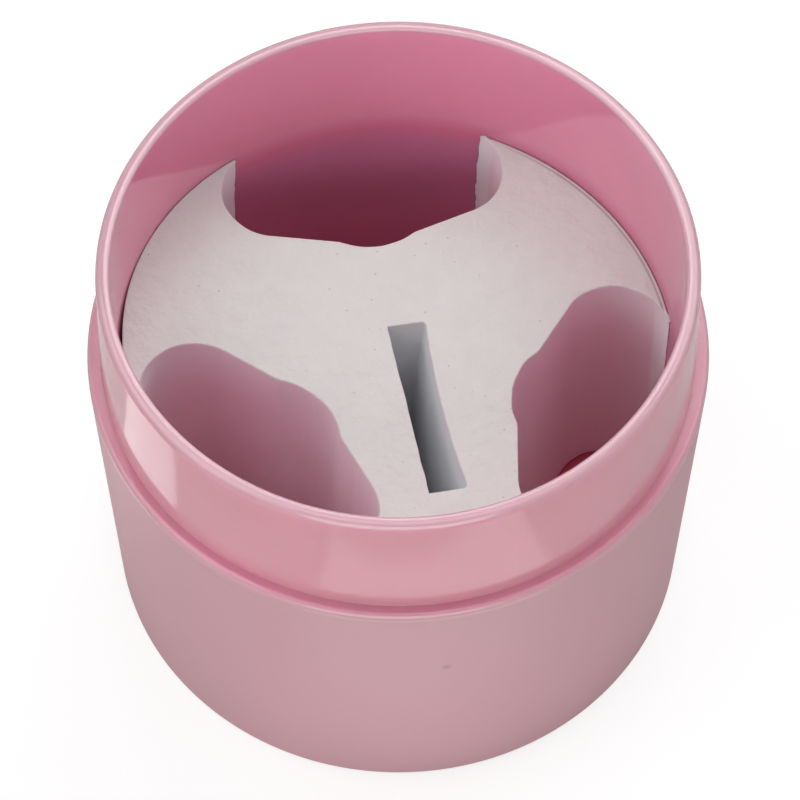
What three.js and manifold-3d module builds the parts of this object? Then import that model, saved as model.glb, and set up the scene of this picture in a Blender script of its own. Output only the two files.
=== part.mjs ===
// Lash glue container: an open double-wall plastic jar that holds a die-cut foam insert.
// Millimetres, +Z up, origin at the middle of the foot, +Y along the slot in the foam.
import * as THREE from "three";
import { mergeVertices } from "three/addons/utils/BufferGeometryUtils.js";
import Module from "manifold-3d";

const wasm = await Module();
wasm.setup();

// Outer shell: the satin body below the ledge
const LEDGE_R = 45; // outer radius at the ledge, the widest place
const SHELL_TAPER = 1.7; // the shell's radius is this much less at the foot
const LEDGE_Z = 53.5; // height of the ledge that a lid would sit on
const SHELL_WALL = 1.4;
const SHELL_BASE = 1.6; // thickness of the shell's bottom
const FOOT_ROUND = 0.85;
const FOOT_WIDTH = 4.5; // ring that touches the table
const FOOT_RECESS = 0.6; // the bottom inside that ring is lifted by this much

// Inner cup: neck, rim, ledge flange, straight wall and floor in one moulding
const NECK_HEIGHT = 21; // from ledge to rim
const LEDGE_WIDTH = 2;
const NECK_TAPER = 0.5; // the neck's radius is this much less at the rim
const RIM_WALL = 2;
const RIM_ROUND = 1.2; // outer edge of the rim
const MOUTH_ROUND = 0.5; // inner edge of the rim
const LEDGE_ROUND = 0.8;
const FLANGE = 1.3; // thickness of the ledge
const CUP_WALL = 1.2;
const CUP_FLOOR = 1.5;
const CUP_TAPER = 0.6; // the bore's radius is this much less at the floor
const CUP_FILLET = 0.5;
const COLLAR_HEIGHT = 5; // thick band under the flange that centres the cup in the shell
const BEAD = 0.5; // snap bead on that band
const SEAT_CLEARANCE = 0.3; // between collar and shell
const AIR_GAP = 0.5; // between the two bottoms

// Foam insert: a plug with three bottle pockets and a slot, all cut right through
const FOAM_HEIGHT = 47.8;
const FOAM_CLEARANCE = 0.3; // to the cup's wall and floor
const LOBE_R = 8; // side lobes of a pocket
const LOBE_X = 13.1; // from the pocket's axis to the middle of a side lobe
const BOTTLE_R = 10.7; // middle lobe of a pocket
const BOTTLE_IN = 1.5; // the middle lobe lies this much further in than the side lobes
const WEB_TILT = THREE.MathUtils.degToRad(15); // slope of the edges between the lobes
const LOBE_END = THREE.MathUtils.degToRad(60); // where a side lobe opens to the foam's edge
const SLOT_WIDTH = 5.6;
const SLOT_LENGTH = 28.4;
const SLOT_X = 2;
const SLOT_Y = -10.5;

// Pockets as cut: bearing of the pocket's middle, its distance in from the foam's edge, and its twist
const POCKETS = [
  { bearing: 87.6, inset: 9.9, twist: 0.8 },
  { bearing: 210.2, inset: 12.7, twist: 2.2 },
  { bearing: 331.2, inset: 9.7, twist: 1.2 },
];

const AROUND = 72; // facets round the jar
const ARC_STEPS = 2; // quarter rounds get twice as many facets
const LOBE_STEPS = 10;

// Places that follow from the sizes above
const footR = LEDGE_R - SHELL_TAPER;
const flangeZ = LEDGE_Z - FLANGE;
const rimZ = LEDGE_Z + NECK_HEIGHT;
const neckBaseR = LEDGE_R - LEDGE_WIDTH;
const neckR = neckBaseR - NECK_TAPER;
const mouthR = neckR - RIM_WALL;
const floorR = mouthR - CUP_TAPER;
const baseTopZ = FOOT_RECESS + SHELL_BASE;
const cupBottomZ = baseTopZ + AIR_GAP;
const floorZ = cupBottomZ + CUP_FLOOR;
const foamR = floorR - FOAM_CLEARANCE;
const foamZ = floorZ + FOAM_CLEARANCE;
const collarZ = flangeZ - COLLAR_HEIGHT;
const beadZ = flangeZ - COLLAR_HEIGHT / 2;

// Tapered walls as radius at a height
const shellOuter = (z) => THREE.MathUtils.mapLinear(z, 0, flangeZ, footR, LEDGE_R);
const shellInner = (z) => shellOuter(z) - SHELL_WALL;
const collarR = (z) => shellInner(z) - SEAT_CLEARANCE;
const boreR = (z) => THREE.MathUtils.mapLinear(z, floorZ, rimZ, floorR, mouthR);
const cupOuter = (z) => boreR(z) + CUP_WALL;

// Turns a closed half section, radius against height, about the Z axis.
function revolve(section) {
  return new THREE.LatheGeometry(section.getPoints(ARC_STEPS), AROUND).rotateX(Math.PI / 2);
}

function outerShellGeometry() {
  const recessR = footR - FOOT_WIDTH;
  const section = new THREE.Path();
  section.moveTo(0, FOOT_RECESS);
  section.lineTo(recessR, FOOT_RECESS);
  section.lineTo(recessR + FOOT_RECESS, 0);
  section.absarc(shellOuter(FOOT_ROUND) - FOOT_ROUND, FOOT_ROUND, FOOT_ROUND, -Math.PI / 2, 0, false);
  section.lineTo(LEDGE_R, flangeZ);
  section.lineTo(shellInner(flangeZ), flangeZ);
  section.lineTo(shellInner(beadZ + BEAD), beadZ + BEAD);
  section.lineTo(shellInner(beadZ) + BEAD, beadZ);
  section.lineTo(shellInner(beadZ - BEAD), beadZ - BEAD);
  section.lineTo(shellInner(baseTopZ), baseTopZ);
  section.lineTo(0, baseTopZ);
  return revolve(section);
}

function innerCupGeometry() {
  const section = new THREE.Path();
  section.moveTo(0, cupBottomZ);
  section.lineTo(cupOuter(cupBottomZ) - CUP_FILLET, cupBottomZ);
  section.lineTo(cupOuter(cupBottomZ + CUP_FILLET), cupBottomZ + CUP_FILLET);
  section.lineTo(cupOuter(collarZ), collarZ);
  section.lineTo(collarR(collarZ), collarZ);
  section.lineTo(collarR(beadZ - BEAD), beadZ - BEAD);
  section.lineTo(collarR(beadZ) + BEAD, beadZ);
  section.lineTo(collarR(beadZ + BEAD), beadZ + BEAD);
  section.lineTo(collarR(flangeZ), flangeZ);
  section.lineTo(LEDGE_R, flangeZ);
  section.absarc(LEDGE_R - LEDGE_ROUND, LEDGE_Z - LEDGE_ROUND, LEDGE_ROUND, 0, Math.PI / 2, false);
  section.lineTo(neckBaseR, LEDGE_Z);
  section.absarc(neckR - RIM_ROUND, rimZ - RIM_ROUND, RIM_ROUND, 0, Math.PI / 2, false);
  section.absarc(mouthR + MOUTH_ROUND, rimZ - MOUTH_ROUND, MOUTH_ROUND, Math.PI / 2, Math.PI, false);
  section.absarc(floorR - CUP_FILLET, floorZ + CUP_FILLET, CUP_FILLET, 0, -Math.PI / 2, true);
  section.lineTo(0, floorZ);
  return revolve(section);
}

// A closed geometry as a solid that can be cut.
function solidOf(geometry) {
  const bare = new THREE.BufferGeometry();
  bare.setAttribute("position", geometry.getAttribute("position"));
  bare.setIndex(geometry.index);
  const merged = mergeVertices(bare);
  return new wasm.Manifold(
    new wasm.Mesh({
      numProp: 3,
      vertProperties: merged.getAttribute("position").array,
      triVerts: new Uint32Array(merged.index.array),
    }),
  );
}

function geometryOf(solid) {
  const mesh = solid.getMesh();
  const geometry = new THREE.BufferGeometry();
  geometry.setAttribute("position", new THREE.BufferAttribute(mesh.vertProperties, 3));
  geometry.setIndex(new THREE.BufferAttribute(mesh.triVerts, 1));
  return geometry;
}

function prism(outline, depth, curveSegments) {
  return new THREE.ExtrudeGeometry(outline, { depth, curveSegments, bevelEnabled: false });
}

// The two side lobes with the sloping edges between them, open on the outer side.
// The pocket's middle is at 0, 0 and its outer side lies along +Y.
function lobesOutline() {
  const endX = LOBE_X + LOBE_R * Math.cos(LOBE_END);
  const webX = LOBE_X + LOBE_R * Math.sin(WEB_TILT);
  const webY = -LOBE_R * Math.cos(WEB_TILT) - webX * Math.tan(WEB_TILT);
  const openY = foamR;
  const outline = new THREE.Shape();
  outline.moveTo(0, webY);
  outline.absarc(LOBE_X, 0, LOBE_R, WEB_TILT - Math.PI / 2, LOBE_END, false);
  outline.lineTo(endX, openY);
  outline.lineTo(-endX, openY);
  outline.absarc(-LOBE_X, 0, LOBE_R, Math.PI - LOBE_END, 1.5 * Math.PI - WEB_TILT, false);
  outline.closePath();
  return outline;
}

function roundOutline(radius, y) {
  const outline = new THREE.Shape();
  outline.absarc(0, y, radius, 0, 2 * Math.PI, false);
  return outline;
}

function slotOutline() {
  const left = SLOT_X - SLOT_WIDTH / 2;
  const near = SLOT_Y - SLOT_LENGTH / 2;
  const outline = new THREE.Shape();
  outline.moveTo(left, near);
  outline.lineTo(left + SLOT_WIDTH, near);
  outline.lineTo(left + SLOT_WIDTH, near + SLOT_LENGTH);
  outline.lineTo(left, near + SLOT_LENGTH);
  outline.closePath();
  return outline;
}

// The cutters stand out past both faces of the foam, which lies from 0 up.
function foamInsertGeometry() {
  const past = FOAM_HEIGHT / 2;
  const cutDepth = FOAM_HEIGHT + 2 * past;
  let foam = solidOf(prism(roundOutline(foamR, 0), FOAM_HEIGHT, AROUND / 2));
  foam = foam.subtract(solidOf(prism(slotOutline(), cutDepth, 1).translate(0, 0, -past)));
  for (const { bearing, inset, twist } of POCKETS) {
    const along = THREE.MathUtils.degToRad(bearing);
    const facing = THREE.MathUtils.degToRad(bearing + twist - 90);
    const place = new THREE.Matrix4().makeRotationZ(facing);
    place.setPosition((foamR - inset) * Math.cos(along), (foamR - inset) * Math.sin(along), -past);
    for (const outline of [lobesOutline(), roundOutline(BOTTLE_R, -BOTTLE_IN)]) {
      foam = foam.subtract(solidOf(prism(outline, cutDepth, LOBE_STEPS).applyMatrix4(place)));
    }
  }
  return geometryOf(foam);
}

function piece(name, geometry, color, roughness) {
  const material = new THREE.MeshStandardMaterial({ color, roughness, metalness: 0 });
  const mesh = new THREE.Mesh(geometry, material);
  mesh.name = name;
  return mesh;
}

const container = new THREE.Group();
container.add(piece("outer_shell", outerShellGeometry(), "#d9a8b2", 0.5));
container.add(piece("inner_cup", innerCupGeometry(), "#d68a9e", 0.12));

const foamInsert = piece("foam_insert", foamInsertGeometry(), "#e4dddb", 0.95);
foamInsert.position.z = foamZ;
container.add(foamInsert);

export default container;
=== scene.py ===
import math

import bmesh
import bpy
from mathutils import Matrix, Vector, noise


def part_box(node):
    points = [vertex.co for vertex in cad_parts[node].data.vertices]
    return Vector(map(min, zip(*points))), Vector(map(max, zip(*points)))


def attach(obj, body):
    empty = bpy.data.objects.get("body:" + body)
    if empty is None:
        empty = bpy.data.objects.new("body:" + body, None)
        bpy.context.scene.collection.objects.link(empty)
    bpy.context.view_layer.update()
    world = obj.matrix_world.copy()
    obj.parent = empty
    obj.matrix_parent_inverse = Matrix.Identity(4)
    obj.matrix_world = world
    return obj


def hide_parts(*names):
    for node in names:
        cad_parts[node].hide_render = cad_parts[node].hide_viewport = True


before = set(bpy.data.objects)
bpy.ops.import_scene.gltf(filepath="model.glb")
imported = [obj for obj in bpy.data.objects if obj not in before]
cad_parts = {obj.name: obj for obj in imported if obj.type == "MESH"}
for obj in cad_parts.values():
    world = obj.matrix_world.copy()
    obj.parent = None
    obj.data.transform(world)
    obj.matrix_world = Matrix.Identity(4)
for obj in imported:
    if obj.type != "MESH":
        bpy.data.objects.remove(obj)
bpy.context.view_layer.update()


# Outer shell: the tapered body of the jar, injection moulded in pink ABS against a spark-eroded
# tool, which leaves it satin. It stands on a foot ring, and the inner cup's flange rests on its
# top edge.
MM = 0.001
shell_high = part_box("outer_shell")[1]
SHELL_R = shell_high.x
SHELL_TOP = shell_high.z
SHELL_TAPER = 1.7 * MM  # the radius is this much less at the foot
SHELL_WALL = 1.4 * MM
SHELL_BASE = 1.6 * MM
FOOT_WIDTH = 4.5 * MM  # ring that touches the table
FOOT_RECESS = 0.6 * MM  # the bottom inside that ring is lifted by this much
FOOT_ROUND = 0.85 * MM
SHELL_EDGE = 0.06 * MM  # rounding of the top edge
TURN_STEPS = 256
ROUND_STEPS = 8
MERGE_DISTANCE = 0.0001 * MM
SHARP_CORNER = math.radians(32)

SHELL_PINK = "#D8A7B1"
SHELL_PINK_DEEP = "#D3A1AB"
SHELL_FLOW = 22 * MM
SATIN_DULLNESS = (0.40, 0.48)
GRAIN = 0.5 * MM
GRAIN_DEPTH = 0.1 * MM
GRAIN_STRENGTH = 0.06
SCUFF_PLACE = (-2.4 * MM, -44.4 * MM, 36.6 * MM)
SCUFF_SIZE = 0.9 * MM
SCUFF_CORE = 0.3 * SCUFF_SIZE
SCUFF_GREY = "#B38A90"
SCUFF_SHARE = 0.7
ABS_IOR = 1.53
NOISE_SPAN = (0.3, 0.7)  # where most values of a noise pattern lie


def turned(name, section, rounds):
    """A turned solid. section lists its half section as (radius, height), and rounds gives the
    rounding of a corner by its place in that list."""
    shape = bmesh.new()
    corners = [shape.verts.new((radius, 0, height)) for radius, height in section]
    for near, far in zip(corners, corners[1:]):
        shape.edges.new((near, far))
    for place, rounding in rounds.items():
        bmesh.ops.bevel(
            shape,
            geom=[corners[place]],
            offset=rounding,
            offset_type="OFFSET",
            affect="VERTICES",
            segments=ROUND_STEPS,
            profile=0.5,
            material=-1,
        )
    bmesh.ops.spin(
        shape,
        geom=shape.verts[:] + shape.edges[:],
        cent=(0, 0, 0),
        axis=(0, 0, 1),
        angle=2 * math.pi,
        steps=TURN_STEPS,
        use_merge=True,
    )
    bmesh.ops.remove_doubles(shape, verts=shape.verts[:], dist=MERGE_DISTANCE)
    bmesh.ops.recalc_face_normals(shape, faces=shape.faces[:])
    return finished(name, shape)


def finished(name, shape):
    """The object of a finished bmesh, smooth but for its real corners."""
    mesh = bpy.data.meshes.new(name)
    shape.to_mesh(mesh)
    shape.free()
    mesh.shade_smooth()
    mesh.set_sharp_from_angle(angle=SHARP_CORNER)
    piece = bpy.data.objects.new(name, mesh)
    bpy.context.collection.objects.link(piece)
    return piece


def linear(hex_colour):
    """Linear RGBA of an sRGB hex value."""
    channels = [int(hex_colour[place : place + 2], 16) / 255 for place in (1, 3, 5)]
    return [c / 12.92 if c <= 0.04045 else ((c + 0.055) / 1.055) ** 2.4 for c in channels] + [1]


def new_material(name):
    material = bpy.data.materials.new(name)
    material.use_nodes = True
    material.node_tree.nodes.clear()
    return material, material.node_tree


def add_node(tree, kind, settings=None, links=None):
    """Adds a node, sets its properties and sockets by name, and links sockets into it."""
    node = tree.nodes.new(kind)
    for name, value in (settings or {}).items():
        if isinstance(name, int) or name in node.inputs:
            node.inputs[name].default_value = value
        else:
            setattr(node, name, value)
    for name, socket in (links or {}).items():
        tree.links.new(socket, node.inputs[name])
    return node


def noise_of(tree, place, size, detail, roughness):
    """A soft random pattern, with features of about that size."""
    settings = {"Scale": 1 / size, "Detail": detail, "Roughness": roughness}
    return add_node(tree, "ShaderNodeTexNoise", settings, {"Vector": place}).outputs["Fac"]


def ramp(tree, value, start, end, low=0, high=1):
    """Goes from low, where value is at its start, to high, where it is at its end."""
    settings = {"From Min": start, "From Max": end, "To Min": low, "To Max": high}
    return add_node(tree, "ShaderNodeMapRange", settings, {"Value": value}).outputs["Result"]


def blend(tree, share, first, second):
    """A colour that goes from first to second with share. Each is a hex value or a socket."""
    settings = {"data_type": "RGBA"}
    links = {"Factor": share}
    for socket, colour in ((6, first), (7, second)):
        if isinstance(colour, str):
            settings[socket] = linear(colour)
        else:
            links[socket] = colour
    return add_node(tree, "ShaderNodeMix", settings, links).outputs["Result"]


def relief_of(tree, height, strength, depth, below=None):
    """The normal of a fine relief, on top of another one if that is given."""
    links = {"Height": height}
    if below:
        links["Normal"] = below
    settings = {"Strength": strength, "Distance": depth}
    return add_node(tree, "ShaderNodeBump", settings, links).outputs["Normal"]


def add_surface(tree, settings, links):
    shader = add_node(tree, "ShaderNodeBsdfPrincipled", settings, links)
    add_node(tree, "ShaderNodeOutputMaterial", links={"Surface": shader.outputs["BSDF"]})


# Satin ABS: the eroded tool leaves a fine even grain that spreads the highlights, with soft changes
# of tone where the plastic flowed and one small scuff on the front. The grain is drawn at 0.5 mm,
# coarser than the real 0.1 mm, so that it shows.
satin_abs, tree = new_material("satin_abs_moulded")
place = add_node(tree, "ShaderNodeTexCoord").outputs["Object"]
flow = noise_of(tree, place, SHELL_FLOW, detail=3, roughness=0.5)
tone = blend(tree, flow, SHELL_PINK_DEEP, SHELL_PINK)
from_scuff = add_node(
    tree, "ShaderNodeVectorMath", {"operation": "DISTANCE", 1: SCUFF_PLACE}, {0: place}
)
scuff = ramp(tree, from_scuff.outputs["Value"], SCUFF_CORE, SCUFF_SIZE, SCUFF_SHARE, 0)
grain = noise_of(tree, place, GRAIN, detail=2, roughness=0.6)
add_surface(
    tree,
    {"IOR": ABS_IOR},
    {
        "Base Color": blend(tree, scuff, tone, SCUFF_GREY),
        "Roughness": ramp(tree, flow, *NOISE_SPAN, *SATIN_DULLNESS),
        "Normal": relief_of(tree, grain, GRAIN_STRENGTH, GRAIN_DEPTH),
    },
)

foot_r = SHELL_R - SHELL_TAPER
base_top = FOOT_RECESS + SHELL_BASE
outer_shell = turned(
    "satin_shell",
    [
        (0, FOOT_RECESS),
        (foot_r - FOOT_WIDTH, FOOT_RECESS),
        (foot_r - FOOT_WIDTH + FOOT_RECESS, 0),
        (foot_r, 0),
        (SHELL_R, SHELL_TOP),
        (SHELL_R - SHELL_WALL, SHELL_TOP),
        (foot_r - SHELL_WALL, base_top),
        (0, base_top),
    ],
    {3: FOOT_ROUND, 4: SHELL_EDGE},
)
outer_shell.data.materials.append(satin_abs)
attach(outer_shell, "jar")
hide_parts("outer_shell")


# Inner cup: rim, neck, ledge flange, bore and floor, moulded in one in the same pink plastic against
# a polished tool. The collar under its flange centres it in the shell, and a snap bead on the collar
# holds it there.
cup_low, cup_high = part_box("inner_cup")
RIM_Z = cup_high.z
CUP_BOTTOM = cup_low.z
FLANGE = 1.3 * MM
LEDGE_WIDTH = 2 * MM
LEDGE_ROUND = 0.9 * MM
NECK_FILLET = 0.12 * MM
NECK_TAPER = 0.5 * MM  # the neck's radius is this much less at the rim
RIM_WALL = 2 * MM
RIM_ROUND = 1.2 * MM
MOUTH_ROUND = 0.5 * MM
CUP_TAPER = 0.6 * MM  # the bore's radius is this much less at the floor
CUP_WALL = 1.2 * MM
CUP_FLOOR = 1.5 * MM
CUP_FILLET = 0.5 * MM
COLLAR = 5 * MM
SEAT_CLEARANCE = 0.3 * MM  # between collar and shell

NECK_PINK = "#DFA3B0"
# Painted sheen: the rim's greyer pink stands in for the pale sheen it mirrors from the lamps above.
RIM_SHEEN_PINK = "#CDA1AE"
RIM_DEPTH = 1 * MM
RIM_BLEND = 0.6 * MM
MOUTH_BLEND = 0.5 * MM
# Painted shade: the ledge's deeper pink stands in for the shade in the corner under the neck.
LEDGE_SHADE_PINK = "#D8879F"
LEDGE_BLEND = 0.15 * MM
# Painted highlight: the lighter pink on the ledge's outer rounding, close to the satin's pink.
LEDGE_EDGE_HIGHLIGHT_PINK = "#DAA6B1"
EDGE_START = 0.6 * MM
EDGE_END = 0.05 * MM
# Painted bounce light: the bore gets a more saturated pink than the neck outside, for the pink light
# that bounces inside the cup.
BORE_PINK_WITH_BOUNCE = "#E59DB8"
# Painted shade: a darker pink on the bore below the ledge, where the shell stops the light, and a
# redder floor for the shade and pink bounce light down there.
BORE_SHADE_PINK = "#E282A4"
BORE_SHADE_BLEND = 3.5 * MM
FLOOR_SHADE_AND_BOUNCE_RED = "#E4607A"
FLOOR_BLEND = 3 * MM
CUP_FLOW = 16 * MM
FLOW_TONE = (0.96, 1.01)
FLOW_DEPTH = 0.3 * MM
FLOW_STRENGTH = 0.012
RESIN_SPECK = "#8E5564"
RESIN_SPACING = 9 * MM
RESIN_DOT = (0.012, 0.022)  # parts of that spacing
RESIN_SHARE = 0.8
NECK_DULLNESS = 0.12
LEDGE_DULLNESS = 0.27
GLOSS_REFLECTION = 0.6
GLOSS_COAT = 0.2
GLOSS_COAT_DULLNESS = 0.03
SHINE_THROUGH = 0.9
SHINE_REACH = 4.5 * MM
SHINE_COLOUR = (1, 0.75, 0.8)  # red goes furthest

ledge_z = SHELL_TOP + FLANGE
neck_foot_r = SHELL_R - LEDGE_WIDTH
neck_r = neck_foot_r - NECK_TAPER
mouth_r = neck_r - RIM_WALL
floor_r = mouth_r - CUP_TAPER
floor_z = CUP_BOTTOM + CUP_FLOOR
collar_r = SHELL_R - SHELL_WALL - SEAT_CLEARANCE
collar_z = SHELL_TOP - COLLAR


def reach_of(tree, place, scale, offset=(0, 0, 0)):
    """Length of a place that is scaled and then moved."""
    settings = {"Location": offset, "Scale": scale}
    moved = add_node(tree, "ShaderNodeMapping", settings, {"Vector": place}).outputs["Vector"]
    length = add_node(tree, "ShaderNodeVectorMath", {"operation": "LENGTH"}, {0: moved})
    return length.outputs["Value"]


def specks_of(tree, place, spacing, dot, share):
    """Dots about one spacing apart: share inside the smaller size of a dot, nothing beyond the
    larger."""
    settings = {"feature": "F1", "Scale": 1 / spacing}
    cells = add_node(tree, "ShaderNodeTexVoronoi", settings, {"Vector": place})
    return ramp(tree, cells.outputs["Distance"], *dot, share, 0)


# Glossy ABS: the polished tool gives sharp reflections, a trace of flow waviness, and here and there
# a dark speck of burnt resin. Light passes through the neck's single wall, and below the ledge the
# shell stops it. The colours paint light and shade on top of that: the bore is a more saturated pink
# than the neck as painted bounce light, darker below the ledge as painted shade, and reddest at the
# floor as painted shade and bounce light. The rim's paler, greyer pink is a painted sheen. The ledge
# is rubbed duller by the lid; its deeper pink is painted shade, and its lighter edge, close to the
# satin's pink, a painted highlight.
glossy_abs, tree = new_material("glossy_abs_moulded")
place = add_node(tree, "ShaderNodeTexCoord").outputs["Object"]
height = add_node(tree, "ShaderNodeSeparateXYZ", links={"Vector": place}).outputs["Z"]
from_axis = reach_of(tree, place, (1, 1, 0))
flow = noise_of(tree, place, CUP_FLOW, detail=2, roughness=0.5)

at_floor = ramp(tree, height, floor_z + FLOOR_BLEND, floor_z)
below_ledge = ramp(tree, height, ledge_z, ledge_z - BORE_SHADE_BLEND)
outside = ramp(tree, from_axis, mouth_r, mouth_r + MOUTH_BLEND)
# The rim's tone is a painted sheen.
on_rim = ramp(tree, height, RIM_Z - RIM_DEPTH, RIM_Z - RIM_DEPTH + RIM_BLEND)
# On the ledge the colour is painted shade; the duller finish is the lid's rubbing.
on_ledge = ramp(tree, from_axis, neck_foot_r, neck_foot_r + LEDGE_BLEND)
# At the ledge's edge the colour is a painted highlight, and the subsurface scattering fades out.
at_edge = ramp(tree, from_axis, SHELL_R - EDGE_START, SHELL_R - EDGE_END)
# Painted shade below the ledge, and painted shade and bounce light at the floor.
shaded_bore_tone = blend(tree, at_floor, BORE_SHADE_PINK, FLOOR_SHADE_AND_BOUNCE_RED)
tone = blend(tree, below_ledge, BORE_PINK_WITH_BOUNCE, shaded_bore_tone)
for share, colour in (
    (outside, NECK_PINK),
    (on_rim, RIM_SHEEN_PINK),
    (on_ledge, LEDGE_SHADE_PINK),
    (at_edge, LEDGE_EDGE_HIGHLIGHT_PINK),
):
    tone = blend(tree, share, tone, colour)
flow_tone = ramp(tree, flow, *NOISE_SPAN, *FLOW_TONE)
toned = add_node(tree, "ShaderNodeHueSaturation", links={"Color": tone, "Value": flow_tone})
speck = specks_of(tree, place, RESIN_SPACING, RESIN_DOT, RESIN_SHARE)
add_surface(
    tree,
    {
        "IOR": ABS_IOR,
        "Specular IOR Level": GLOSS_REFLECTION,
        "Coat Weight": GLOSS_COAT,
        "Coat Roughness": GLOSS_COAT_DULLNESS,
        "Subsurface Radius": SHINE_COLOUR,
        "Subsurface Scale": SHINE_REACH,
    },
    {
        "Base Color": blend(tree, speck, toned.outputs["Color"], RESIN_SPECK),
        "Roughness": ramp(tree, on_ledge, 0, 1, NECK_DULLNESS, LEDGE_DULLNESS),
        "Subsurface Weight": ramp(tree, at_edge, 0, 1, SHINE_THROUGH, 0),
        "Normal": relief_of(tree, flow, FLOW_STRENGTH, FLOW_DEPTH),
    },
)

inner_cup = turned(
    "glossy_cup",
    [
        (0, CUP_BOTTOM),
        (floor_r + CUP_WALL, CUP_BOTTOM),
        (floor_r + CUP_WALL, collar_z),
        (collar_r, collar_z),
        (collar_r, SHELL_TOP),
        (SHELL_R, SHELL_TOP),
        (SHELL_R, ledge_z),
        (neck_foot_r, ledge_z),
        (neck_r, RIM_Z),
        (mouth_r, RIM_Z),
        (floor_r, floor_z),
        (0, floor_z),
    ],
    {1: CUP_FILLET, 6: LEDGE_ROUND, 7: NECK_FILLET, 8: RIM_ROUND, 9: MOUTH_ROUND, 10: CUP_FILLET},
)
inner_cup.data.materials.append(glossy_abs)
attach(inner_cup, "jar")
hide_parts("inner_cup")


# Foam insert: a plug die-cut from a thick sheet of white closed-cell polyethylene foam and pushed
# into the cup by hand, so it sits a little askew, with its right side lower. Three bottle pockets
# open to its edge, a large lobe between two small ones, and a slot lies beside its middle.
foam_low, foam_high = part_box("foam_insert")
FOAM_R = foam_high.x
FOAM_FOOT = foam_low.z
FOAM_TOP = foam_high.z
FOAM_SLOPE = 0.075  # fall of the top towards the right
LEAN = 1.3 * MM  # the cut walls lean to the left by this much
LEAN_DEPTH = 16 * MM
SETTLE = Vector((1.2 * MM, -1.6 * MM))  # where the foot lies against the top
STIFF_REACH = 8 * MM  # this near its edge, the wall of the cup holds the foam
WALL_GAP = 0.08 * MM
LOOSE_GAP = 0.55 * MM  # further gap to the wall, at one place
LOOSE_BEARING = math.radians(176)
LOOSE_SPREAD = math.radians(17)
LOBE_R = 8 * MM
LOBE_X = 13.1 * MM  # from a pocket's axis to the middle of a small lobe
BOTTLE_R = 10.7 * MM  # large lobe
WEB_TILT = math.radians(15)  # slope of the edges between the lobes
NOTCH_R = 3.5 * MM  # rounding where such an edge meets the large lobe
SLOT_WIDTH = 5.6 * MM
SLOT_LENGTH = 28.4 * MM
SLOT_MIDDLE = Vector((2 * MM, -10.5 * MM))
SLOT_CORNER = 0.55 * MM
SLOT_BOW = 0.7 * MM
SLOT_SQUEEZE = 0.058  # the slot narrows by this much of its depth, on its right side

# Pockets as cut: bearing of the middle, its distance in from the foam's edge, the pocket's twist,
# how much further in the large lobe lies, and the angles at which its right and left lobes end.
POCKETS = (
    {"bearing": 88.1, "inset": 9.9 * MM, "twist": 1.5, "bottle_in": 1.2 * MM, "ends": (60, 52)},
    {"bearing": 210.2, "inset": 12.7 * MM, "twist": 2.2, "bottle_in": 1.5 * MM, "ends": (60, 60)},
    {"bearing": 331.2, "inset": 9.8 * MM, "twist": 1.6, "bottle_in": 1.5 * MM, "ends": (60, 60)},
)
CUT_STEP = 0.5 * MM
UPPER_STEP = 0.55 * MM
UPPER_DEPTH = 26 * MM  # the part that shows, which has finer steps
LOWER_STEPS = 10
EDGE_ROUND = 0.2 * MM
EDGE_TURNS = (0, 30, 60, 90)
FACE_MARGIN = 0.15 * MM
WAVE = 0.1 * MM  # unevenness of the cut
WAVE_LENGTH = 2.6 * MM
WAVE_STRETCH = 2  # it is longer down the cut
TEAR = 0.22 * MM  # unevenness of the thin tips
TEAR_LENGTH = 1.3 * MM
TEAR_REACH = 1.2 * MM
ON_EDGE = 0.01 * MM
SKIN_RISE = 0.5  # faces that look further up or down than this are skin

FOAM_WHITE = "#DFE0DD"
FOAM_GREY = "#D7D6D4"
MOTTLE = 5 * MM
FOAM_PORE = "#A79C9C"
PORE_SPACING = 2.6 * MM
PORE_DOT = (0.03, 0.075)  # parts of that spacing
PORE_SHARE = 0.6
# Painted shade: the dark line in the crease along the foam's right edge.
FOAM_CREASE_SHADE = "#8F7C80"
CREASE_IN = 0.6 * MM  # from the foam's edge
CREASE_HALF = 0.17 * MM
CREASE_START = 22 * MM
CREASE_END = 30 * MM
CREASE_SHADE_SHARE = 0.5
DENT = 2.5 * MM
DENT_DEPTH = 0.5 * MM
DENT_STRENGTH = 0.9
CELL = 0.4 * MM
CELL_DEPTH = 0.1 * MM
CELL_STRENGTH = 0.25
FOAM_CUT = "#F8F9FB"
FOAM_CUT_GREY = "#F2F3F6"
STREAK = 1.2 * MM
STREAK_STRETCH = (1, 1, 0.08)
STREAK_DEPTH = 0.15 * MM
STREAK_STRENGTH = 0.15
# Painted bounce light: the cup's pink on the cut faces deep in the pockets.
FOAM_CUT_PINK_BOUNCE = "#F4E3E9"
PINK_START = 18 * MM
PINK_END = 28 * MM
PINK_DEPTH = 14 * MM
SIDE_START = 38.8 * MM
SIDE_END = 39.2 * MM
# Painted shade: the greyer, bluer tone of the slot's upper walls.
FOAM_SLOT_SHADE = "#DDE2E3"
SLOT_TONE_DEPTH = 10 * MM
SLOT_REACH = Vector((6 * MM, 18 * MM))
FOAM_DULLNESS = 0.9
FOAM_IOR = 1.3


def bore_r(height):
    """Radius of the cup's bore, which widens a little towards the mouth."""
    return floor_r + (mouth_r - floor_r) * (height - floor_z) / (RIM_Z - floor_z)


edge_r = bore_r(FOAM_TOP) - WALL_GAP


def arc(middle, radius, start, end):
    """Points along an arc, a cut step apart."""
    count = max(2, math.ceil(abs(end - start) * radius / CUT_STEP))
    angles = [start + (end - start) * step / count for step in range(count + 1)]
    return [middle + radius * Vector((math.cos(a), math.sin(a))) for a in angles]


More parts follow.
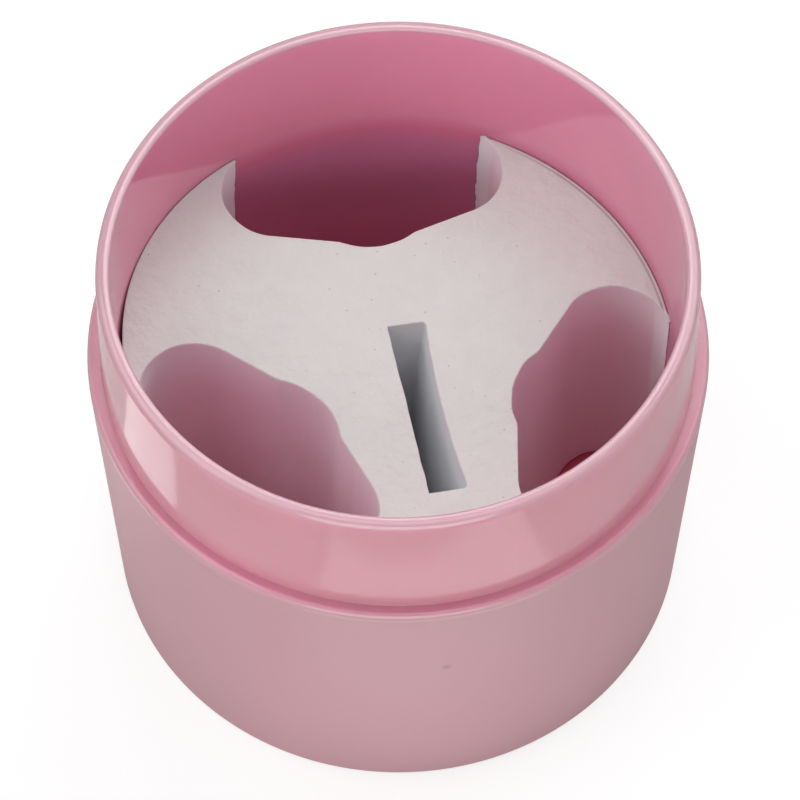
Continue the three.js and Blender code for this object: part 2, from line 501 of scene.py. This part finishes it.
def pocket_half(bottle_in, end):
    """The right half of a pocket's edge, from outside the foam to the bottom of the large lobe.
    The pocket's outer side lies along +Y."""
    lobe = Vector((LOBE_X, 0))
    bottle = Vector((0, -bottle_in))
    along_web = Vector((-math.cos(WEB_TILT), -math.sin(WEB_TILT)))
    into_foam = Vector((math.sin(WEB_TILT), -math.cos(WEB_TILT)))
    web_start = lobe + LOBE_R * into_foam
    beside = web_start + NOTCH_R * into_foam - bottle
    past = beside.dot(along_web)
    reach = math.sqrt(past**2 - beside.length_squared + (BOTTLE_R + NOTCH_R) ** 2)
    notch = bottle + beside + (-past - reach) * along_web
    meets = (notch - bottle).normalized()
    lobe_end = lobe + LOBE_R * Vector((math.cos(end), math.sin(end)))
    edge = [lobe_end + Vector((0, FOAM_R)), *arc(lobe, LOBE_R, end, WEB_TILT - math.pi / 2)]
    edge += arc(notch, NOTCH_R, math.pi / 2 + WEB_TILT, math.atan2(-meets.y, -meets.x))
    edge += arc(bottle, BOTTLE_R, math.atan2(meets.y, meets.x), -math.pi / 2)
    return edge


def pocket_edge(pocket):
    """One pocket's edge in the foam, from its clockwise end to its counterclockwise end."""
    right, left = [pocket_half(pocket["bottle_in"], math.radians(end)) for end in pocket["ends"]]
    left = [Vector((-point.x, point.y)) for point in reversed(left[:-1])]
    bearing = math.radians(pocket["bearing"])
    turn = Matrix.Rotation(bearing + math.radians(pocket["twist"]) - math.pi / 2, 2)
    middle = (FOAM_R - pocket["inset"]) * Vector((math.cos(bearing), math.sin(bearing)))
    points = [middle + turn @ point for point in right + left]
    edge = []
    for near, far in zip(points, points[1:]):
        if (near.length < edge_r) != (far.length < edge_r):
            span = far - near
            b = near.dot(span) / span.length_squared
            c = (near.length_squared - edge_r**2) / span.length_squared
            root = math.sqrt(b * b - c)
            share = -b - root if near.length > edge_r else -b + root
            edge.append(near + share * span)
        if far.length < edge_r:
            edge.append(far)
    return edge


def foam_outline():
    """The foam's outer edge, counterclockwise, with the pockets let into it, and its tips."""
    edges = [pocket_edge(pocket) for pocket in POCKETS]
    outline = []
    for edge, following in zip(edges, edges[1:] + edges[:1]):
        start = math.atan2(edge[-1].y, edge[-1].x)
        end = math.atan2(following[0].y, following[0].x)
        if end < start:
            end += 2 * math.pi
        outline += edge + arc(Vector((0, 0)), edge_r, start, end)[1:-1]
    return outline, [tip for edge in edges for tip in (edge[0], edge[-1])]


def slot_outline():
    """The slot's edge, clockwise. Its right side bows in, and only that side's corners are round."""
    right, left = SLOT_MIDDLE.x + SLOT_WIDTH / 2, SLOT_MIDDLE.x - SLOT_WIDTH / 2
    far, near = SLOT_MIDDLE.y + SLOT_LENGTH / 2, SLOT_MIDDLE.y - SLOT_LENGTH / 2
    straight = SLOT_LENGTH - 2 * SLOT_CORNER
    count = math.ceil(SLOT_LENGTH / CUT_STEP)
    up = [near + SLOT_CORNER + straight * step / count for step in range(1, count)]
    bow = [SLOT_BOW * (1 - ((y - SLOT_MIDDLE.y) / (straight / 2)) ** 2) for y in up]
    near_corner = Vector((right - SLOT_CORNER, near + SLOT_CORNER))
    far_corner = Vector((right - SLOT_CORNER, far - SLOT_CORNER))
    outline = arc(near_corner, SLOT_CORNER, -math.pi / 2, 0)
    outline += [Vector((right - give, y)) for give, y in zip(bow, up)]
    outline += arc(far_corner, SLOT_CORNER, 0, math.pi / 2)
    outline += [Vector((left, y)) for y in (far, *reversed(up), near)]
    return outline[::-1]


def cut_levels():
    """Levels up the foam: share of its height, rise above that, and how far its edge is drawn in."""
    turns = [math.radians(angle) for angle in EDGE_TURNS]
    rounding = [
        (EDGE_ROUND * (1 - math.cos(turn)), EDGE_ROUND * (1 - math.sin(turn))) for turn in turns
    ]
    lower_share = 1 - UPPER_DEPTH / (FOAM_TOP - FOAM_FOOT)
    upper_steps = math.ceil(UPPER_DEPTH / UPPER_STEP)
    shares = [lower_share * step / LOWER_STEPS for step in range(1, LOWER_STEPS)]
    shares += [lower_share + (1 - lower_share) * step / upper_steps for step in range(upper_steps)]
    levels = [(0, rise, inset) for rise, inset in rounding] + [(share, 0, 0) for share in shares]
    levels += [(1, -rise, inset) for rise, inset in reversed(rounding)]
    return levels + [(1, 0, EDGE_ROUND + FACE_MARGIN)]


def seated(plan, inward, share, rise, inset, torn):
    """Where a point of the foam's plan lies at a level of the plug as it sits in the cup."""
    top = FOAM_TOP - FOAM_SLOPE * plan.x
    height = FOAM_FOOT + (top - FOAM_FOOT) * share + rise
    out = plan.xy.normalized()
    across = Vector((-out.y, out.x))
    lean = Vector((-LEAN * (1 - math.exp((height - top) / LEAN_DEPTH)), 0))
    lean += SETTLE * ((top - height) / (top - FOAM_FOOT)) ** 2
    held = 1 - min(1, max(0, (edge_r - plan.xy.length) / STIFF_REACH))
    wave = noise.noise(Vector((plan.x, plan.y, height / WAVE_STRETCH)) / WAVE_LENGTH)
    tear = noise.noise(Vector((plan.x, plan.y, height)) / TEAR_LENGTH)
    spot = plan.xy + lean - held * lean.dot(out) * out
    spot += WAVE * wave * inward.xy
    spot += torn * TEAR * tear * across
    spot += inset * inward.xy
    in_slot = plan.xy - SLOT_MIDDLE
    past_slot = max(abs(in_slot.x) - SLOT_WIDTH / 2, abs(in_slot.y) - SLOT_LENGTH / 2)
    if past_slot < CUT_STEP:
        spot.x -= SLOT_SQUEEZE * (top - height) * (0.5 + in_slot.x / SLOT_WIDTH)
    if plan.xy.length > edge_r - ON_EDGE:
        away = (math.atan2(spot.y, spot.x) - LOOSE_BEARING) / LOOSE_SPREAD
        gap = WALL_GAP + LOOSE_GAP * math.exp(-away * away)
        spot = spot.normalized() * (bore_r(height) - gap - inset)
    return (spot.x, spot.y, height)


shape = bmesh.new()
plan_of = shape.verts.layers.float_vector.new("plan")
inward_of = shape.verts.layers.float_vector.new("inward")
outer_edge, tips = foam_outline()
for loop in (outer_edge, slot_outline()):
    ring = [shape.verts.new((point.x, point.y, FOAM_FOOT)) for point in loop]
    for before, corner, after in zip(ring[-1:] + ring[:-1], ring, ring[1:] + ring[:1]):
        along = (after.co - before.co).normalized()
        near_tip = min((corner.co.xy - tip).length for tip in tips)
        corner[plan_of] = (corner.co.x, corner.co.y, max(0, 1 - near_tip / TEAR_REACH))
        corner[inward_of] = (-along.y, along.x, 0)
        shape.edges.new((corner, after))
ring_edges = shape.edges[:]
for place, (share, rise, inset) in enumerate(cut_levels()):
    if place > 0:
        grown = bmesh.ops.extrude_edge_only(shape, edges=ring_edges)["geom"]
        ring_edges = [item for item in grown if isinstance(item, bmesh.types.BMEdge)]
    for corner in {corner for edge in ring_edges for corner in edge.verts}:
        plan = corner[plan_of]
        corner.co = seated(plan, corner[inward_of], share, rise, inset, plan.z)
    if place == 0:
        bmesh.ops.triangle_fill(shape, edges=ring_edges, use_beauty=True)
bmesh.ops.triangle_fill(shape, edges=ring_edges, use_beauty=True)
shape.verts.layers.float_vector.remove(plan_of)
shape.verts.layers.float_vector.remove(shape.verts.layers.float_vector["inward"])
bmesh.ops.recalc_face_normals(shape, faces=shape.faces[:])


def combined(tree, operation, first, second):
    """Two values joined by a math operation."""
    settings = {"operation": operation}
    return add_node(tree, "ShaderNodeMath", settings, {0: first, 1: second}).outputs["Value"]


# White foam: a fine closed-cell skin, matt and slightly mottled, with shallow dents and scattered
# open pores. The plug is pressed against the wall at its right, and the dark line along that edge is
# painted shade for the crease there.
white_foam, tree = new_material("polyethylene_foam_skin")
place = add_node(tree, "ShaderNodeTexCoord").outputs["Object"]
rightward = add_node(tree, "ShaderNodeSeparateXYZ", links={"Vector": place}).outputs["X"]
from_axis = reach_of(tree, place, (1, 1, 0))
mottle = noise_of(tree, place, MOTTLE, detail=4, roughness=0.6)
pore = specks_of(tree, place, PORE_SPACING, PORE_DOT, PORE_SHARE)
tone = blend(tree, pore, blend(tree, mottle, FOAM_GREY, FOAM_WHITE), FOAM_PORE)
# Painted shade along the foam's right edge, where it is pressed against the wall.
along_edge = add_node(
    tree,
    "ShaderNodeMath",
    {"operation": "COMPARE", 1: edge_r - CREASE_IN, 2: CREASE_HALF},
    {0: from_axis},
)
at_right = ramp(tree, rightward, CREASE_START, CREASE_END, 0, CREASE_SHADE_SHARE)
crease_shade = combined(tree, "MULTIPLY", along_edge.outputs["Value"], at_right)
dents = noise_of(tree, place, DENT, detail=3, roughness=0.55)
dented = relief_of(tree, dents, DENT_STRENGTH, DENT_DEPTH)
cells = noise_of(tree, place, CELL, detail=2, roughness=0.6)
add_surface(
    tree,
    {"Roughness": FOAM_DULLNESS, "IOR": FOAM_IOR},
    {
        "Base Color": blend(tree, crease_shade, tone, FOAM_CREASE_SHADE),
        "Normal": relief_of(tree, cells, CELL_STRENGTH, CELL_DEPTH, dented),
    },
)

# Cut foam: the knife opens the cells, so the cut faces are whiter than the skin and faintly streaked
# along the cut. The greyer, bluer tone on the slot's upper walls is painted shade. Foam lets light
# through, and deep in the pockets, towards the cup's wall, a little of the cup's pink is painted on
# as bounce light.
cut_foam, tree = new_material("polyethylene_foam_cut")
place = add_node(tree, "ShaderNodeTexCoord").outputs["Object"]
height = add_node(tree, "ShaderNodeSeparateXYZ", links={"Vector": place}).outputs["Z"]
from_axis = reach_of(tree, place, (1, 1, 0))
along_cut = add_node(tree, "ShaderNodeMapping", {"Scale": STREAK_STRETCH}, {"Vector": place})
streaks = noise_of(tree, along_cut.outputs["Vector"], STREAK, detail=3, roughness=0.6)
tone = blend(tree, streaks, FOAM_CUT_GREY, FOAM_CUT)
# Painted bounce light from the cup's pink wall, deep in the pockets.
near_wall = ramp(tree, from_axis, PINK_START, PINK_END)
in_pocket = ramp(tree, from_axis, SIDE_END, SIDE_START)
deep = ramp(tree, height, FOAM_TOP, FOAM_TOP - PINK_DEPTH)
deep_pocket = combined(tree, "MULTIPLY", in_pocket, deep)
tone = blend(tree, combined(tree, "MULTIPLY", near_wall, deep_pocket), tone, FOAM_CUT_PINK_BOUNCE)
# Painted shade on the slot's upper walls.
from_slot = reach_of(
    tree,
    place,
    (1 / SLOT_REACH.x, 1 / SLOT_REACH.y, 0),
    (-SLOT_MIDDLE.x / SLOT_REACH.x, -SLOT_MIDDLE.y / SLOT_REACH.y, 0),
)
in_slot = add_node(tree, "ShaderNodeMath", {"operation": "LESS_THAN", 1: 1}, {0: from_slot})
shallow = ramp(tree, height, FOAM_TOP - SLOT_TONE_DEPTH, FOAM_TOP)
slot_shade = combined(tree, "MULTIPLY", in_slot.outputs["Value"], shallow)
add_surface(
    tree,
    {"Roughness": FOAM_DULLNESS, "IOR": FOAM_IOR},
    {
        "Base Color": blend(tree, slot_shade, tone, FOAM_SLOT_SHADE),
        "Normal": relief_of(tree, streaks, STREAK_STRENGTH, STREAK_DEPTH),
    },
)

for face in shape.faces:
    face.material_index = 0 if abs(face.normal.z) > SKIN_RISE else 1
foam_insert = finished("die_cut_foam", shape)
foam_insert.data.materials.append(white_foam)
foam_insert.data.materials.append(cut_foam)
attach(foam_insert, "insert")
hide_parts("foam_insert")


# Floor: a plain sheet of white studio paper. The camera sees it lifted to white apart from the jar's
# soft shadow, and the jar's own surfaces mirror it as it is lit.
FLOOR_SIZE = 4
PAPER_BOUNCE = "#BEBEBE"
PAPER_MIRRORED = "#DADADA"
PAPER_SHADE = "#A0A0A0"
PAPER_GLOW = 0.72
WHITE = "#FFFFFF"

studio_white, tree = new_material("white_studio_paper")
rays = add_node(tree, "ShaderNodeLightPath").outputs
mirrored = combined(tree, "MAXIMUM", rays["Is Glossy Ray"], rays["Is Transmission Ray"])
bounce, paper, shade = [
    add_node(tree, "ShaderNodeBsdfDiffuse", {"Color": linear(grey)}).outputs["BSDF"]
    for grey in (PAPER_BOUNCE, PAPER_MIRRORED, PAPER_SHADE)
]
glow = add_node(tree, "ShaderNodeEmission", {"Color": linear(WHITE), "Strength": PAPER_GLOW})
seen = add_node(tree, "ShaderNodeAddShader", links={0: shade, 1: glow.outputs["Emission"]})
unseen = add_node(tree, "ShaderNodeMixShader", links={0: mirrored, 1: bounce, 2: paper})
mixed = add_node(
    tree,
    "ShaderNodeMixShader",
    links={0: rays["Is Camera Ray"], 1: unseen.outputs["Shader"], 2: seen.outputs["Shader"]},
)
add_node(tree, "ShaderNodeOutputMaterial", links={"Surface": mixed.outputs["Shader"]})

shape = bmesh.new()
bmesh.ops.create_grid(shape, x_segments=1, y_segments=1, size=FLOOR_SIZE / 2)
floor = finished("studio_floor", shape)
floor.data.materials.append(studio_white)


# Studio light: a white room that gives little light itself, soft boxes behind, at the back right,
# at the left, above and in front, and two white cards on the floor that mirror in the neck. The
# camera's bearing round the jar is the photograph's, and lamps and cards are placed from it.
WORLD_LIGHT = 0.02
CAMERA_BEARING = math.radians(-12.1)
CAMERA_RISE = math.radians(59.08)
CAMERA_DISTANCE = 592.4 * MM
CAMERA_TARGET = Vector((0, 0, 37.33 * MM))
CAMERA_LENS = 180
CAMERA_SENSOR = 36
CAMERA_SHIFT = 0.00225
CAMERA_CLIP = 10 * MM
CARD_LIFT = 0.5 * MM

# Soft boxes: name, bearing and rise in degrees, distance, width and height in metres, watts.
SOFT_BOXES = (
    ("back_soft_box", 180, 57, 1.3, 0.5, 0.4, 2.3),
    ("back_right_soft_box", 135, 40, 1.6, 1.6, 1.1, 11.5),
    ("left_soft_box", -90, 45, 1.6, 1.6, 1.1, 9.8),
    ("top_soft_box", 0, 89, 1.6, 1.6, 1.1, 7.3),
    ("front_soft_box", 0, 18, 1.6, 1.6, 1.3, 15.4),
)

# Cards: name, place to the right and to the far side of the jar's middle, width, depth, watts.
FLOOR_CARDS = (
    ("left_card", -90 * MM, -13 * MM, 40 * MM, 34 * MM, 0.0036),
    ("front_card", 12.5 * MM, -74 * MM, 85 * MM, 34 * MM, 0.0045),
)

world = bpy.data.worlds.new("white_room")
bpy.context.scene.world = world
world.use_nodes = True
tree = world.node_tree
tree.nodes.clear()
rays = add_node(tree, "ShaderNodeLightPath").outputs
seen = combined(tree, "MAXIMUM", rays["Is Camera Ray"], rays["Is Glossy Ray"])
seen = combined(tree, "MAXIMUM", seen, rays["Is Transmission Ray"])
strength = ramp(tree, seen, 0, 1, WORLD_LIGHT, 1)
room = add_node(tree, "ShaderNodeBackground", {"Color": linear(WHITE)}, {"Strength": strength})
add_node(tree, "ShaderNodeOutputWorld", links={"Surface": room.outputs["Background"]})


def round_jar(bearing, rise, distance):
    """A point round the camera's target. Bearing 0 is the camera's own, and turns to its right."""
    turn = CAMERA_BEARING + bearing
    level = distance * math.cos(rise)
    rising = distance * math.sin(rise)
    return CAMERA_TARGET + Vector((math.sin(turn) * level, -math.cos(turn) * level, rising))


def aim(thing, at):
    thing.rotation_euler = (at - thing.location).to_track_quat("-Z", "Y").to_euler()


def area_lamp(name, width, height, watts):
    lamp = bpy.data.lights.new(name, "AREA")
    lamp.shape = "RECTANGLE"
    lamp.size = width
    lamp.size_y = height
    lamp.energy = watts
    holder = bpy.data.objects.new(name, lamp)
    bpy.context.collection.objects.link(holder)
    return holder


for name, bearing, rise, distance, width, height, watts in SOFT_BOXES:
    soft_box = area_lamp(name, width, height, watts)
    soft_box.location = round_jar(math.radians(bearing), math.radians(rise), distance)
    aim(soft_box, CAMERA_TARGET)

to_right = Vector((math.cos(CAMERA_BEARING), math.sin(CAMERA_BEARING), 0))
to_far = Vector((-math.sin(CAMERA_BEARING), math.cos(CAMERA_BEARING), 0))
for name, right, far, width, depth, watts in FLOOR_CARDS:
    card = area_lamp(name, width, depth, watts)
    card.visible_camera = False
    card.location = right * to_right + far * to_far + Vector((0, 0, CARD_LIFT))
    card.rotation_euler = (math.pi, 0, CAMERA_BEARING)

lens = bpy.data.cameras.new("camera")
lens.sensor_width = CAMERA_SENSOR
lens.lens = CAMERA_LENS
lens.shift_x = CAMERA_SHIFT
lens.clip_start = CAMERA_CLIP
camera = bpy.data.objects.new("camera", lens)
camera.location = round_jar(0, CAMERA_RISE, CAMERA_DISTANCE)
aim(camera, CAMERA_TARGET)
bpy.context.collection.objects.link(camera)
bpy.context.scene.camera = camera
bpy.context.scene.view_settings.view_transform = "Standard"
